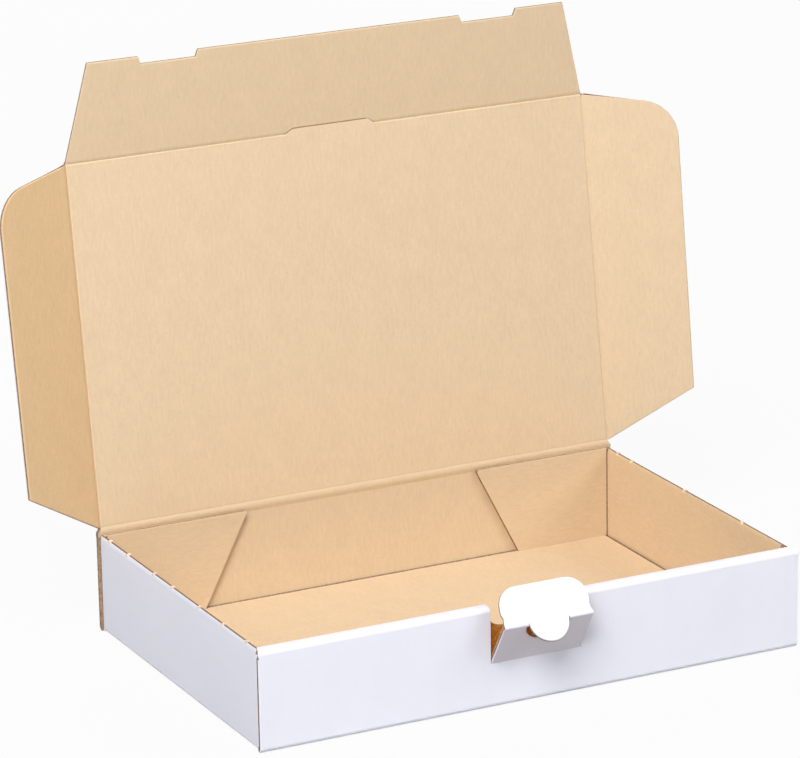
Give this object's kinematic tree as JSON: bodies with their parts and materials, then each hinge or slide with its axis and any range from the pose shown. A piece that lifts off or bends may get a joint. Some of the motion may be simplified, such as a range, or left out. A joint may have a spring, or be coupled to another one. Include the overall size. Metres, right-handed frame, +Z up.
{
  "type": "corrugated mailer box",
  "caption": "Shallow folded mailer box of white-faced corrugated board, standing open, with hinged lid, side ears, tuck flap and a front lock tab.",
  "frame": {"origin": "centre of the tray's underside, between the outer faces of its front and back walls", "axes": "+X to the right as seen from the front, +Y from the front wall to the lid's crease, +Z up"},
  "size_m": [0.4, 0.2536, 0.3034],
  "materials": {
    "white_board": "white-faced corrugated board, matte",
    "kraft_board": "brown kraft side of corrugated board, matte",
    "tab_board": "white-faced corrugated board, matte"
  },
  "bodies": {
    "tray": {"tray": "white_board"},
    "lid": {"lid": "kraft_board"},
    "lock_tab": {"lock_tab": "tab_board"}
  },
  "joints": [
    {"name": "lid_hinge", "type": "hinge", "parent": "tray", "child": "lid", "pos_m": [0, 0.10065, 0.0562], "axis": [-1, 0, 0], "range_deg": [-92.4, 81.6]},
    {"name": "lock_tab_hinge", "type": "hinge", "parent": "tray", "child": "lock_tab", "pos_m": [0, -0.10065, 0.0247], "axis": [1, 0, 0], "range_deg": [-33, 57]}
  ]
}
